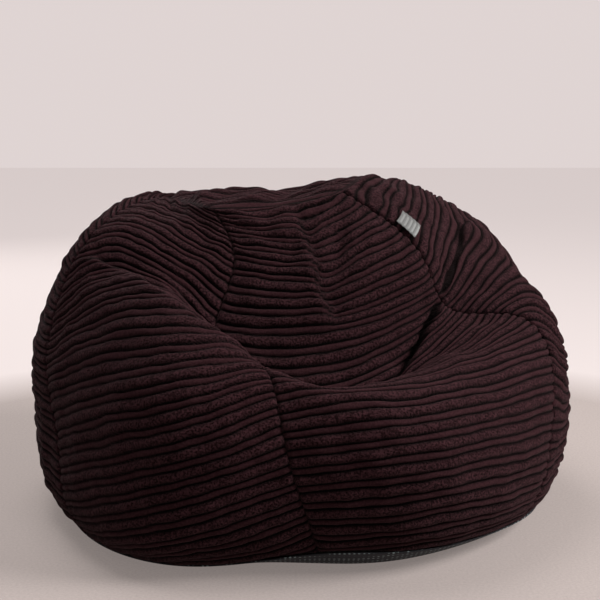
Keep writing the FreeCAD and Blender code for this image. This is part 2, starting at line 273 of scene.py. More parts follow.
def closed_sheet(name, outer, inner, marks=None):
    """A panel made of two grids, joined all round their border."""
    rows, columns = outer.shape[:2]
    points = np.concatenate([outer.reshape(-1, 3), inner.reshape(-1, 3)])
    faces = np.concatenate([grid_faces(rows, columns), grid_faces(rows, columns, rows * columns, True),
                            rim_faces(rows, columns)])
    i, j = np.meshgrid(np.linspace(0.01, 0.49, rows), np.linspace(0.01, 0.99, columns), indexing="ij")
    front = np.stack([i, j], axis=-1).reshape(-1, 2)
    uv = np.concatenate([front, front + (0.5, 0.0)])
    both = {k: np.concatenate([v.ravel(), v.ravel()]) for k, v in (marks or {}).items()}
    return make_piece(name, points, faces, uv, both)


# %% [markdown]
# ## Wales
# Jumbo cord has a wide, deep-piled wale and a narrow, smoother one beside it, with a gap after each.
# They could be painted as bump, but on a cord this coarse the outline of the bag is knuckled by them, so
# they are real relief. One function gives the height at any distance up the cloth, and also says how near
# a point is to the crown of a wale and which sort of wale it is, so the finish can follow the same
# stripes and paint shade into the gaps.

# %% One function for the cord
WIDE = 0.0163
NARROW = 0.0105
PAIR = WIDE + NARROW
WIDE_TALL = 0.0064
NARROW_TALL = 0.0046


def dome(t, square=2.6, soft=0.62):
    return np.power(np.maximum(1 - np.abs(2 * t - 1) ** square, 0), soft)


def wales(s):
    """Height, nearness to a crown and narrowness at the distance s up the cloth."""
    phase = np.mod(s, PAIR)
    wide = phase < WIDE
    t = np.where(wide, phase / WIDE, (phase - WIDE) / NARROW)
    crown_and_shade = dome(t)
    tall = np.where(wide, WIDE_TALL, NARROW_TALL)
    return tall * crown_and_shade, crown_and_shade, np.where(wide, 0.0, 1.0)


print("pairs of wales on a 0.65 m gore:", round(0.65 / PAIR, 1))

# %% [markdown]
# ## Soft shape
# The points give the pose, but a stuffed bag is also tight: between its seams the cloth swells, and along
# them it is held. A coarse copy of the skin is run as cloth with air in it, held at its seams and nearly
# free between them. The distance each point moved is kept and capped, and added to the smooth skin.

# %% Let the skin swell
SWELL_ROUND = 96
SWELL_UP = 121
SWELL_CAP = 0.010
SWELL_FRAMES = 20
PRESSURE = 4
STRETCH = 12
BEND = 1.5
HOLD_FREE = 0.25
HOLD_WIDE = 0.12
HOLD_STIFF = 0.6


def swell():
    u = np.arange(SWELL_ROUND) * 12 / SWELL_ROUND
    v = np.linspace(0, 1, SWELL_UP)
    start = skin(u, v)
    last = (SWELL_ROUND - 1) * SWELL_UP
    j = np.arange(SWELL_UP - 1)
    joining = np.stack([last + j, j, j + 1, last + j + 1], axis=-1)
    quads = np.concatenate([grid_faces(SWELL_ROUND, SWELL_UP), joining])
    trial = make_piece("trial", start.reshape(-1, 3), quads)
    seam = np.abs(np.mod(u + 1, 2) - 1)
    hold = HOLD_FREE + (1 - HOLD_FREE) * np.exp(-(seam / HOLD_WIDE) ** 2)
    hold = np.repeat(hold[:, None], SWELL_UP, axis=1)
    hold[:, :2] = hold[:, -2:] = 1.0
    group = trial.vertex_groups.new(name="hold")
    for index, weight in enumerate(hold.ravel().tolist()):
        group.add([index], weight, "REPLACE")
    cloth = trial.modifiers.new("cloth", "CLOTH")
    cloth.settings.quality = 6
    cloth.settings.tension_stiffness = STRETCH
    cloth.settings.compression_stiffness = STRETCH
    cloth.settings.bending_stiffness = BEND
    cloth.settings.vertex_group_mass = "hold"
    cloth.settings.pin_stiffness = HOLD_STIFF
    cloth.settings.use_pressure = True
    cloth.settings.uniform_pressure_force = PRESSURE
    cloth.settings.effector_weights.gravity = 0
    scene = bpy.context.scene
    for frame_number in range(1, SWELL_FRAMES + 1):
        scene.frame_set(frame_number)
    shown = trial.evaluated_get(bpy.context.evaluated_depsgraph_get())
    end = np.empty(len(trial.data.vertices) * 3)
    shown.data.vertices.foreach_get("co", end)
    moved = end.reshape(start.shape) - start
    scene.frame_set(1)
    bpy.data.objects.remove(trial)
    far = np.linalg.norm(moved, axis=-1, keepdims=True)
    print("swelled by up to", float(far.max().round(4)), "m, mean", float(far.mean().round(4)))
    return moved * np.minimum(1, SWELL_CAP / np.maximum(far, 1e-9))


swollen = swell()


def soft_skin(u, v):
    """Grid of points on the swollen skin."""
    along = curve(np.linspace(0, 1, SWELL_UP), swollen.transpose(1, 0, 2), v).transpose(1, 0, 2)
    along = np.concatenate([along, along[:1]])
    around = np.arange(SWELL_ROUND + 1) * 12 / SWELL_ROUND
    return skin(u, v) + curve(around, along, np.mod(u, 12.0), closed=True)


# %% [markdown]
# ## Creases
# Where the bag has been sat in, the cloth folds over itself. A crease is a path on the skin. The cloth
# stands at one height on its left and another on its right, and both die away over a few centimetres. A
# crease can also have a narrow valley along it, and it paints shade into the pile along its path. Seen
# along the path from its start, left is the left hand.

# %% Crease paths and their heights
CREASES = [
    # down the middle of the back rest, where the left half lies over the right half
    dict(path=[(1.17, 0.985), (1.05, 0.95), (0.95, 0.917), (0.89, 0.85), (0.93, 0.81), (0.98, 0.785),
               (1.03, 0.74)], left=-0.010, right=0.006, valley=0.003, reach=0.040, slip=0.018,
         shade=0.35),
    # between the back rest and the right arm, down into the seat
    dict(path=[(2.02, 0.752), (1.77, 0.718), (1.62, 0.688), (1.52, 0.668), (1.41, 0.645), (1.30, 0.625)],
         left=0.012, right=-0.006, valley=0.014, reach=0.035, slip=0.0, shade=0.95),
    # over the right arm behind the seam
    dict(path=[(3.5, 0.69), (2.98, 0.713), (2.76, 0.722), (2.46, 0.75), (2.19, 0.763), (2.0, 0.752)],
         left=0.008, right=-0.003, valley=0.007, reach=0.035, slip=0.0, shade=0.95),
    # the crest of the left arm
    dict(path=[(10.05, 0.655), (10.29, 0.683), (10.43, 0.672), (10.59, 0.648), (10.75, 0.60),
               (10.99, 0.525), (11.22, 0.49), (11.43, 0.47), (11.65, 0.475), (11.9, 0.50)],
         left=-0.016, right=0.008, valley=0.003, reach=0.042, slip=0.0, shade=0.6),
]
CREASE_EDGE = 0.004
VALLEY_WIDE = 0.0040
SHADE_WIDE = 0.0034
SLIP_EDGE = 0.009
SLIP_REACH = 0.06
CREASE_POINTS = 90


def crease_height(place, crease):
    """Height of one crease over a grid, how far it moves the wales along the cloth, and the shade it paints
    into the pile, as the share of the pile's colour kept, from 0 to 1."""
    marks = np.array(crease["path"])
    walk = curve(np.linspace(0, 1, len(marks)), marks, np.linspace(0, 1, CREASE_POINTS))
    near = [soft_skin([u - 0.01, u, u + 0.01], [v - 0.003, v, v + 0.003]) for u, v in walk]
    path = np.array([g[1, 1] for g in near])
    up = unit(np.array([np.cross(g[2, 1] - g[0, 1], g[1, 2] - g[1, 0]) for g in near]))
    left = unit(np.cross(up, np.gradient(path, axis=0)))
    points = place.reshape(-1, 3)
    gap = np.stack([np.sum((points - p) ** 2, axis=1) for p in path], axis=1)
    nearest = np.argmin(gap, axis=1)
    away = np.sqrt(gap[np.arange(len(points)), nearest])
    side = np.sum((points - path[nearest]) * left[nearest], axis=1)
    share = nearest / (CREASE_POINTS - 1)
    weight = smooth(np.minimum(share, 1 - share), 0, 0.16)
    step = np.tanh(side / CREASE_EDGE)
    slow = np.tanh(side / SLIP_EDGE)
    level = (crease["left"] + crease["right"]) / 2 + (crease["left"] - crease["right"]) / 2 * step
    height = weight * (level * np.exp(-away / crease["reach"])
                       - crease["valley"] * np.exp(-(away / VALLEY_WIDE) ** 2))
    slip = weight * crease["slip"] * (0.5 + 0.5 * slow) * np.exp(-away / SLIP_REACH)
    # painted shade: the pile's colour is darkened along the crease
    light = 1 - weight * crease["shade"] * np.exp(-(away / SHADE_WIDE) ** 2)
    return [part.reshape(place.shape[:2]) for part in (height, slip, light)]


def creased(u, v):
    """Grid of points on the finished skin without wales, its outward directions, how far the creases slip
    the wales, and the shade they paint.
    """
    du = 0.01
    wide_u = np.concatenate([[u[0] - 2 * du, u[0] - du], u, [u[-1] + du, u[-1] + 2 * du]])
    place = soft_skin(wide_u, v)
    out = normals(place)
    lift, slip, light = 0, 0, 1
    for crease in CREASES:
        height, pulled, lit = crease_height(place, crease)
        lift, slip, light = lift + height, slip + pulled, light * lit
    place = place + out * lift[..., None]
    out = normals(place)
    return place[2:-2], out[2:-2], slip[2:-2], light[2:-2]


# %% [markdown]
# ## Gores
# A gore is cut flat with its wales running straight across it, and sewn to its neighbours along both
# sides. The wales are laid by the distance up the middle of the cloth, so they crowd together where the
# panel folds over the rim and fan out again, as cut cloth does. Near a seam the stitches draw the cloth
# in, and each wale ends in a small knuckle there. Points are closer together near the seams, where the
# shape is tight. Nothing on a used bag is even: wales drift sideways, the cloth wanders up and down, and
# near the top, where six panels are gathered, both are stronger. The bag was also pushed askew as it was
# sat in, so for three gores a small table gives how far the wales are pulled down, in millimetres, on
# five lines up the gore and at the ten heights used before.

# %% Lay the cord on a gore
SINK = 0.0042
ROWS = 76
COLUMNS = 560
SEAM_DEEP = 0.0020
SEAM_WIDE = 0.0035
SEAM_SOFT = 0.0024
SEAM_LEFT = 0.45
SOFT_WIDE = 0.026
TOP_WIDE = 0.010
TOP_DEEP = 0.010
CORD_THICK = 0.0045
CROWDING = 0.55
GATHERED = (0.80, 0.93)
# How far each unevenness moves the cloth, and the length of one of its bumps, in metres
DRIFT_LONG, DRIFT_SHORT = (0.0020, 0.13), (0.0009, 0.035)
WANDER_LONG, WANDER_SHORT = (0.0022, 0.10), (0.0011, 0.035)
RUMPLE_SLIDE, RUMPLE_LIFT = (0.0030, 0.055), (0.0030, 0.06)
# A share of the height of the wales, not metres, over such a length
PLUMPNESS = (0.16, 0.05)
WALE_SHIFT = {
    "gore_front_right": [(15, 20, 25, 35, 30, 20, 10, 0, -5, -10), (15, 15, 10, 5, -10, -10, -5, 0, 0, 5),
                         (0, 0, -5, -10, -15, -10, 0, 5, 5, 0), (0, 0, -5, -5, -5, -5, -5, -10, -15, -10),
                         (0, 5, 5, 5, 0, -15, -20, -20, -20, -25)],
    "gore_right": [(45, 40, 30, 10, -15, -35, -35, -25, -10, -5), (30, 30, 40, 55, 50, 10, 0, -10, -10, -10),
                   (30, 30, 30, 30, 30, 30, 25, 10, 0, -5), (0, 0, 0, 0, 0, 0, 0, -5, -25, -30),
                   (-30, -30, -30, -30, -30, -30, -30, -30, -30, -30)],
    "gore_front_left": [(80, 84, 88, 84, 74, 62, 50, 32, 18, 5), (34, 39, 48, 44, 39, 27, 10, -3, -18, -20),
                        (0, 4, 14, 20, 26, 20, 12, 4, -18, -25), (0, -5, -5, -5, 0, -10, -15, -25, -25, -25),
                        (-20, -25, -30, -45, -60, -60, -45, -35, -20, -15)],
}


def wale_shift(name, u, v):
    """How far the wales are pulled down the cloth, over the grid of u and v."""
    if name not in WALE_SHIFT:
        return 0.0
    table = np.array(WALE_SHIFT[name], float) / 1000
    up = curve(STEPS, table.T, v)
    return curve(np.linspace(0, 1, 5), up.T, u)


def seam_shift(u):
    """How far the top seam is drawn in, for every value of u: down and back under the top panel."""
    rim = soft_skin(u, [0.985, 1.0])
    up = unit(rim[:, 1] - rim[:, 0])
    return -TOP_DEEP * unit(up * 0.6 + np.array([0, 0, 1.0]) * 0.6)


def corded(name, first, seed):
    """One gore with its wales, seams and thickness."""
    t = np.linspace(0, 1, ROWS)
    u = first + 2 * ((1 - CROWDING) * t + CROWDING * (0.5 - 0.5 * np.cos(math.pi * t)))
    v = np.linspace(0, 1, COLUMNS)
    fine, out, slip, light = creased(u, v)
    across = lengths(fine, 0)
    up = lengths(fine, 1)
    side = np.minimum(across, across[-1:] - across)
    low, high = up, up[:, -1:] - up
    seam = np.minimum(side, low)
    gathered = smooth(v, *GATHERED)[None, :]

    def uneven(kind, draw):
        return kind[0] * ripple(across, up, kind[1], seed + draw)

    laid = np.mean(up, axis=0, keepdims=True) + slip + wale_shift(name, (u - first) / 2, v)
    laid = laid + uneven(DRIFT_LONG, 0) + uneven(DRIFT_SHORT, 4)
    laid = laid + uneven(RUMPLE_SLIDE, 5) * gathered * smooth(side, 0, 0.02)
    tall, crown_and_shade, narrow = wales(laid)
    fade = smooth(np.minimum(seam, high), -0.001, 0.004)
    pull = SEAM_DEEP * np.exp(-(seam / SEAM_WIDE) ** 2) + SEAM_SOFT * np.exp(-(seam / SOFT_WIDE) ** 2)
    wander = uneven(WANDER_LONG, 2) + uneven(WANDER_SHORT, 3) + uneven(RUMPLE_LIFT, 6) * gathered
    pile = tall * (1 + uneven(PLUMPNESS, 1)) * (SEAM_LEFT + (1 - SEAM_LEFT) * fade)
    height = pile + wander * smooth(seam, 0, 0.04) - SINK - pull
    at_top = np.exp(-(high / TOP_WIDE) ** 2)[..., None]
    shift = seam_shift(u)[:, None, :]
    outer = fine + out * height[..., None] * (1 - at_top) + shift * at_top
    inner = outer - out * CORD_THICK
    # The crown mark carries painted shade too: the creases' shade, and a slight darkening along the seams.
    marks = {"crown_and_shade": crown_and_shade * (0.86 + 0.14 * fade) * light, "narrow": narrow}
    return closed_sheet(name + "_cord", outer, inner, marks)


gores = {}
for name, first in GORES.items():
    gores[name] = corded(name, first, seed=11 * first + 3)
    print(name, len(gores[name].data.polygons), "faces")


# %% [markdown]
# ## Top panel
# The six gores are gathered into a six-sided panel of the same cord, lying nearly level on top. A fan of
# points from its middle follows the rim exactly. Its wales run parallel to its front side.

# %% Fill the outline of the top from its middle
TOP_AROUND = 501
TOP_RINGS = 84
TOP_DOME = 0.008
TOP_LUMPS = 0.0075
RIM_WIDE = 0.008


def top_cord():
    u = np.linspace(0, 12, TOP_AROUND)
    rim = soft_skin(u, [1.0])
    share = np.linspace(0, 1, TOP_RINGS)[None, :, None]
    flat = rim + (TOP_MIDDLE - rim) * share
    flat[..., 2] += (TOP_MIDDLE[2] + TOP_DOME - flat[..., 2]) * 0.4 * np.sin(math.pi * share[..., 0])
    out = np.zeros_like(flat)
    out[..., 2] = 1.0
    corner = soft_skin([0.0, 2.0], [1.0])[:, 0]
    along = unit(corner[1, :2] - corner[0, :2])
    behind = flat[..., 1] * along[0] - flat[..., 0] * along[1]
    beside = flat[..., 0] * along[0] + flat[..., 1] * along[1]
    edge = lengths(flat, 1)
    tall, crown_and_shade, narrow = wales(behind + 0.0016 * ripple(beside, behind, 0.12, 5))
    fade = smooth(edge, 0.0, 0.005)
    wander = TOP_LUMPS * ripple(beside, behind, 0.07, 9) * smooth(edge, 0, 0.025)
    height = tall * fade + wander - SINK - SEAM_SOFT * np.exp(-(edge / SOFT_WIDE) ** 2)
    at_rim = np.exp(-(edge / RIM_WIDE) ** 2)[..., None]
    outer = flat + out * height[..., None] * (1 - at_rim) + seam_shift(u)[:, None, :] * at_rim
    inner = outer - out * CORD_THICK
    # painted shade: the crown mark darkens the cord along the rim seam of the top panel
    marks = {"crown_and_shade": (crown_and_shade * (0.25 + 0.75 * fade))[::-1], "narrow": narrow[::-1]}
    return closed_sheet("top_panel_cord", outer[::-1], inner[::-1], marks)


top_panel = top_cord()
print("top panel", len(top_panel.data.polygons), "faces")

# %% [markdown]
# ## Base
# The base is a thinner, tougher cloth with small grip dots. It lies flat on the floor and turns up at the
# edge to meet the gores, higher on the right than on the left, so a strip of it shows at the front.

# %% Base cloth
FLAT_SHARE = 0.86
BASE_THICK = 0.002
ZIP_Y = 0.095
ZIP_HALF = 0.210
ZIP_SLOT = 0.0045
ZIP_END = 0.004
SEAM_HALF = 0.0003
AROUND = np.linspace(0, 12, 361)


def flat_cloth(rim, level):
    """A grid from an outline in to the middle: flat at a level, and turned up at the edge."""
    share = np.concatenate([np.linspace(0, 1 - FLAT_SHARE, 22), np.linspace(1 - FLAT_SHARE, 1, 30)[1:]])
    grid = rim[:, None, :] * (1 - share[None, :, None])
    turn_up = np.clip(1 - share / (1 - FLAT_SHARE), 0, 1)
    grid[..., 2] = level + (rim[:, None, 2] - level) * turn_up[None, :] ** 1.25
    return grid


def half_cloth(name, grid, thick, zip_y, zip_half, side):
    """The half of a base in front of its zip (side -1) or behind it (side 1), slotted for the teeth."""
    whole = closed_sheet(name, grid, grid + np.array([0, 0, thick]))
    edge = zip_y + side * ZIP_SLOT
    cut = bmesh.new()
    cut.from_mesh(whole.data)
    bmesh.ops.remove_doubles(cut, verts=cut.verts, dist=1e-6)
    found = bmesh.ops.bisect_plane(cut, geom=cut.verts[:] + cut.edges[:] + cut.faces[:], dist=1e-6,
                                   plane_co=(0, edge, 0), plane_no=(0, -side, 0), clear_outer=True)
    open_edges = [e for e in found["geom_cut"] if isinstance(e, bmesh.types.BMEdge)]
    bmesh.ops.edgeloop_fill(cut, edges=open_edges)
    for corner in cut.verts:
        if abs(corner.co.y - edge) < 1e-5 and abs(corner.co.x) > zip_half + ZIP_END:
            corner.co.y = zip_y + side * SEAM_HALF
    cut.to_mesh(whole.data)
    cut.free()
    return whole


sole = skin(AROUND, [0.0])[:, 0, :]
base_grid = flat_cloth(sole, 0.0)
base_front = half_cloth("base_front_cloth", base_grid, BASE_THICK, ZIP_Y, ZIP_HALF, -1)
base_back = half_cloth("base_back_cloth", base_grid, BASE_THICK, ZIP_Y, ZIP_HALF, 1)
print("base turns up by", float(sole[:, 2].min().round(3)), "to", float(sole[:, 2].max().round(3)), "m")

# %% [markdown]
# ## Inside
# Under the cover lies a plain woven liner with its own zip, and in the liner the beads. Neither shows,
# but both are there if a panel is hidden. They follow the skin at a greater depth, below the deepest
# seams, and the liner's base has a shorter zip of its own.

# %% Liner and beads
LINER_DEPTH = 0.0175
LINER_THICK = 0.0010
BEADS_DEPTH = 0.021
BEADS_LEVEL = 0.016
BEADS_TOP = 0.004


def under(u, v, depth):
    place = skin(u, v)
    return place - normals(place) * depth


def lining(name, first, last):
    u, v = np.linspace(first, last, 90), np.linspace(0.035, 0.985, 120)
    return closed_sheet(name, under(u, v, LINER_DEPTH), under(u, v, LINER_DEPTH + LINER_THICK))


def lid(name, v, depth, thick, middle, up):
    """A closed sheet across the top or the bottom of the liner."""
    u = np.linspace(0, 12, 181)
    rim = under(u, [v - 0.01, v, v + 0.01], depth)[:, 1:2]
    share = np.linspace(0, 1, 24)[None, :, None]
    flat = rim + (middle - rim) * share
    order = slice(None, None, -1 if up else 1)
    step = np.array([0, 0, -thick if up else thick])
    return closed_sheet(name, flat[order], (flat + step)[order])


liner_right = lining("liner_right_cloth", 0, 6)
liner_left = lining("liner_left_cloth", 6, 12)
liner_top = lid("liner_top_cloth", 0.98, LINER_DEPTH, LINER_THICK,
                TOP_MIDDLE - np.array([0, 0, LINER_DEPTH]), True)


LINER_LEVEL = 0.009
LINER_ZIP_Y = -0.060
LINER_ZIP_HALF = 0.150
liner_sole = under(AROUND, [0.025, 0.035, 0.045], LINER_DEPTH)[:, 1]
liner_grid = flat_cloth(liner_sole, LINER_LEVEL)
liner_front = half_cloth("liner_front_cloth", liner_grid, LINER_THICK, LINER_ZIP_Y, LINER_ZIP_HALF, -1)
liner_back = half_cloth("liner_back_cloth", liner_grid, LINER_THICK, LINER_ZIP_Y, LINER_ZIP_HALF, 1)
print("liner base from", float(liner_sole[:, 2].min().round(3)), "m up")


def bead_heap():
    """One closed body: up the sides, in over the top, and across underneath."""
    u, v = np.linspace(0, 12, 241), np.linspace(0.05, 0.975, 150)
    side = under(u, v, BEADS_DEPTH)
    share = np.linspace(0, 1, 16)[None, 1:, None]
    top = side[:, -1:] + (TOP_MIDDLE - np.array([0, 0, BEADS_DEPTH + BEADS_TOP]) - side[:, -1:]) * share
    floor_middle = np.array([0, 0, BEADS_LEVEL])
    bottom = side[:, :1] + (floor_middle - side[:, :1]) * share
    bottom[..., 2] = BEADS_LEVEL + (side[:, :1, 2] - BEADS_LEVEL) * (1 - share[..., 0]) ** 3
    grid = np.concatenate([bottom[:, ::-1], side, top], axis=1)
    rows, columns = grid.shape[:2]
    i, j = np.meshgrid(np.linspace(0.01, 0.99, rows), np.linspace(0.01, 0.99, columns), indexing="ij")
    heap = make_piece("bead_heap", grid.reshape(-1, 3), grid_faces(rows, columns),
                      np.stack([i, j], axis=-1).reshape(-1, 2))
    weld = bmesh.new()
    weld.from_mesh(heap.data)
    bmesh.ops.remove_doubles(weld, verts=weld.verts, dist=1e-5)
    weld.to_mesh(heap.data)
    weld.free()
    return heap


heap = bead_heap()

# %% [markdown]
# ## Labels
# A small woven label is caught in the seam right of the back and lies over the wales, a little curled at
# its free end. A care label hangs from the back seam near the floor. Both carry plain bars in place of
# words.

# %% Labels
LABEL_THICK = 0.0008


def tag(name, u, v, near, far, bars):
    """A cloth tag over a patch of the skin, at one height by its seam and another at its free end."""
    across, up = np.linspace(*u, 30), np.linspace(*v, 36)
    place = soft_skin(across, up)
    out = normals(place)
    share = np.linspace(0, 1, 30)[:, None]
    rise = near + (far - near) * share ** 2 + 0.0004 * np.sin(up * 900)[None, :]
    outer = place + out * rise[..., None]
    length = np.linspace(0, 1, 36)[None, :]
    inside = smooth(share, 0.10, 0.16) * (1 - smooth(share, 0.84, 0.90))
    ink = inside * smooth(np.sin(length * math.pi * 2 * bars), 0.2, 0.6) * (1 - smooth(length, 0.93, 0.95))
    return closed_sheet(name, outer, outer - out * LABEL_THICK, {"ink": ink * np.ones_like(rise)})


seam_tag = tag("seam_label_cloth", (2.02, 2.25), (0.883, 0.917), 0.0040, 0.0065, 5)
care_tag = tag("care_label_cloth", (6.01, 6.14), (0.033, 0.078), 0.0040, 0.0050, 9)
print("seam label", len(seam_tag.data.polygons), "faces")

# %% [markdown]
# ## Finishes
# Each finish is a small sum of nodes. A wrapper lets the sums be written as Python expressions, so a
# formula for pile reads the way one would say it.

# %% Write shader sums as expressions
class Value:
    """A number that varies over a surface, used in sums like any other number."""

    def __init__(self, paint, socket):
        self.paint = paint
        self.socket = socket

    def maths(self, operation, *terms):
        return self.paint.node("ShaderNodeMath", {"operation": operation}, dict(enumerate(terms)))

    def __add__(self, other):
        return self.maths("ADD", self, other)

    __radd__ = __add__

    def __sub__(self, other):
        return self.maths("SUBTRACT", self, other)

    def __rsub__(self, other):
        return self.maths("SUBTRACT", other, self)

    def __mul__(self, other):
        return self.maths("MULTIPLY", self, other)

    __rmul__ = __mul__


class Paint:
    """One material: its shader, and the nodes that feed it."""

    def __init__(self, name, **fixed):
        self.material = bpy.data.materials.new(name)
        self.material.use_nodes = True
        self.tree = self.material.node_tree
        self.shader = self.tree.nodes["Principled BSDF"]
        for socket, value in fixed.items():
            self.feed(self.shader.inputs[socket.replace("_", " ")], value)

    def feed(self, socket, value):
        if isinstance(value, Value):
            self.tree.links.new(value.socket, socket)
        else:
            socket.default_value = value

    def node(self, kind, settings=None, values=None, out=0):
        made = self.tree.nodes.new(kind)
        for key, setting in (settings or {}).items():
            if key == "stops":
                ramp = made.color_ramp.elements
                for stop, (place, shade) in zip((ramp[0], ramp[1]), setting):
                    stop.position, stop.color = place, (shade, shade, shade, 1)
            else:
                setattr(made, key, setting)
        for socket, value in (values or {}).items():
            self.feed(made.inputs[socket], value)
        return Value(self, made.outputs[out])

    def mark(self, name):
        return self.node("ShaderNodeAttribute", {"attribute_name": name}, out="Fac")

    def place(self):
        return self.node("ShaderNodeTexCoord", out="Object")

    def noise(self, scale, detail=3.0, rough=0.55, place=None):
        return self.node("ShaderNodeTexNoise", {}, {"Vector": place or self.place(), "Scale": scale,
                                                    "Detail": detail, "Roughness": rough})

    def ramp(self, value, low, high):
        """0 below low, 1 above high, and a straight line between."""
        return self.node("ShaderNodeMapRange", {"clamp": True}, {"Value": value, "From Min": low,
                                                                 "From Max": high})

    def mix(self, share, a, b):
        return self.node("ShaderNodeMix", {"data_type": "RGBA"}, {0: share, 6: a, 7: b}, out=2)

    def bump(self, height, distance, strength=1.0):
        return self.node("ShaderNodeBump", {}, {"Height": height, "Distance": distance,
                                                "Strength": strength})

    def finish(self, **varying):
        for socket, value in varying.items():
            self.feed(self.shader.inputs[socket.replace("_", " ")], value)
        return self.material


# %% [markdown]
# ### Corduroy
# Between the wales the colour is painted near black as painted shade; the crowns keep the pile's colour.
# The wide wales are crushed into small flecks, so two sizes of noise mix a near black with a paler brown.
# The narrow wales are smoother, so the same flecks mix two browns that lie closer together. The crown and
# narrow marks came with the relief, so colour and shape can't slip apart; the crown mark also carries the
# shade painted along the creases and seams.

# %% Corduroy finish
FLECKS = 330
TUFTS = 700
# painted shade: the colour of the gaps between the wales, and of the creases and seams
GROOVE_SHADE = (0.0006, 0.0002, 0.0002, 1)
WIDE_DARK = (0.0020, 0.0005, 0.0007, 1)
PILE_PALE = (0.0400, 0.0150, 0.0182, 1)
NARROW_DARK = (0.0140, 0.0048, 0.0060, 1)
NARROW_PALE = (0.0285, 0.0105, 0.0126, 1)
PILE_WORN = (0.0200, 0.0078, 0.0092, 1)


def corduroy():
    paint = Paint("brown_corduroy", Specular_IOR_Level=0.03, Sheen_Weight=0.035, Sheen_Roughness=0.5,
                  Sheen_Tint=(0.8, 0.5, 0.52, 1))
    crown_and_shade, narrow = paint.mark("crown_and_shade"), paint.mark("narrow")
    fleck = paint.ramp(paint.noise(FLECKS, 2.0, 0.55), 0.43, 0.58)
    tuft = paint.ramp(paint.noise(TUFTS, 1.5), 0.40, 0.60)
    crushed = fleck * 0.62 + tuft * 0.38
    cloud = paint.ramp(paint.noise(7, 3.0), 0.3, 0.7)
    wide_tone = paint.mix(crushed, WIDE_DARK, PILE_PALE)
    narrow_tone = paint.mix(crushed, NARROW_DARK, NARROW_PALE)
    pile = paint.mix(narrow, wide_tone, narrow_tone)
    worn = paint.mix(cloud * 0.15, pile, PILE_WORN)
    # painted shade: near black in the gaps between the wales, and where the crown mark carries crease or
    # seam shade
    depth = paint.ramp(crown_and_shade, 0.50, 0.97)
    colour = paint.mix(depth, GROOVE_SHADE, worn)
    rough = 0.95 - 0.12 * fleck
    height = crushed * (1.25 - 0.9 * narrow)
    return paint.finish(Base_Color=colour, Roughness=rough, Normal=paint.bump(height, 0.0012, 0.9))


cord_finish = corduroy()

# %% [markdown]
# ### Grip cloth
# The base cloth is black, with a regular grid of small paler rubber dots that stand a little proud. Cells
# of equal size, each with a disc in its middle, make such a grid without any drawing.

# %% Base cloth finish
def dotted_cloth():
    paint = Paint("dotted_grip_cloth", Roughness=0.8, Specular_IOR_Level=0.3)
    weave = paint.noise(1400, 2.0)
    cells = paint.node("ShaderNodeTexVoronoi", {"feature": "F1"}, {"Vector": paint.place(), "Scale": 150,
                                                                "Randomness": 0.0}, out="Distance")
    dot = 1 - paint.ramp(cells, 0.22, 0.32)
    cloth = paint.mix(weave, (0.006, 0.006, 0.008, 1), (0.02, 0.02, 0.024, 1))
    colour = paint.mix(dot, cloth, (0.16, 0.2, 0.2, 1))
    return paint.finish(Base_Color=colour, Roughness=0.85 - 0.35 * dot,
                        Normal=paint.bump(dot + weave * 0.3, 0.0004))


base_finish = dotted_cloth()


# %% [markdown]
# ### Liner, beads, labels and zips
# The liner is a plain weave, so sets of fine bands cross. Beads are cells with a round bump, greyed at
# their edges by painted shade between them. A label is satin with bars from its mark. Zip tape is a finer
# weave, the teeth are moulded, and the sliders are brushed metal with rubbed places.

# %% Smaller finishes
def weave(paint, scale):
    """Crossing threads, from 0 to 1."""
    threads = [paint.node("ShaderNodeTexWave", {"wave_type": "BANDS", "bands_direction": way},
                          {"Vector": paint.place(), "Scale": scale, "Distortion": 0.6}, out="Fac")
               for way in ("X", "Y", "Z")]
    return (threads[0] + threads[1] + threads[2]) * (1 / 3)


def woven(name, dark, pale, scale=180, depth=0.0004):
    paint = Paint(name, Specular_IOR_Level=0.2)
    threads = weave(paint, scale)
    soil = paint.ramp(paint.noise(9, 3.0), 0.3, 0.75)
    return paint.finish(Base_Color=paint.mix(threads * 0.7 + soil * 0.3, dark, pale),
                        Roughness=0.9 - 0.15 * threads, Normal=paint.bump(threads, depth, 0.7))


def beads():
    paint = Paint("foam_beads", Specular_IOR_Level=0.35)
    cells = paint.node("ShaderNodeTexVoronoi", {"feature": "F1"}, {"Vector": paint.place(), "Scale": 230},
                       out="Distance")
    bead_top_and_shade = 1 - paint.ramp(cells, 0.0, 0.75)
    # painted shade: each bead is grey where it meets its neighbours and white in its middle
    return paint.finish(Base_Color=paint.mix(bead_top_and_shade, (0.35, 0.35, 0.36, 1), (0.86, 0.86, 0.85, 1)),
                        Roughness=0.75 - 0.2 * bead_top_and_shade, Normal=paint.bump(bead_top_and_shade, 0.0018))


def satin_label(name, ground, ink):
    paint = Paint(name, Specular_IOR_Level=0.4)
    threads = weave(paint, 240)
    bars = paint.mark("ink")
    worn = paint.ramp(paint.noise(420, 2.0), 0.35, 0.65)
    plain = paint.mix(threads * 0.5 + worn * 0.5, [0.62 * c for c in ground[:3]] + [1], ground)
    return paint.finish(Base_Color=paint.mix(bars * 0.75, plain, ink), Roughness=0.62 - 0.15 * threads,
                        Normal=paint.bump(threads, 0.0003, 0.6))


def moulded_teeth():
    paint = Paint("moulded_teeth")
    grain = paint.ramp(paint.noise(900, 3.0), 0.3, 0.7)
    return paint.finish(Base_Color=paint.mix(grain, (0.012, 0.012, 0.014, 1), (0.028, 0.028, 0.032, 1)),
                        Roughness=0.38 + 0.18 * grain, Normal=paint.bump(grain, 0.0002, 0.4))


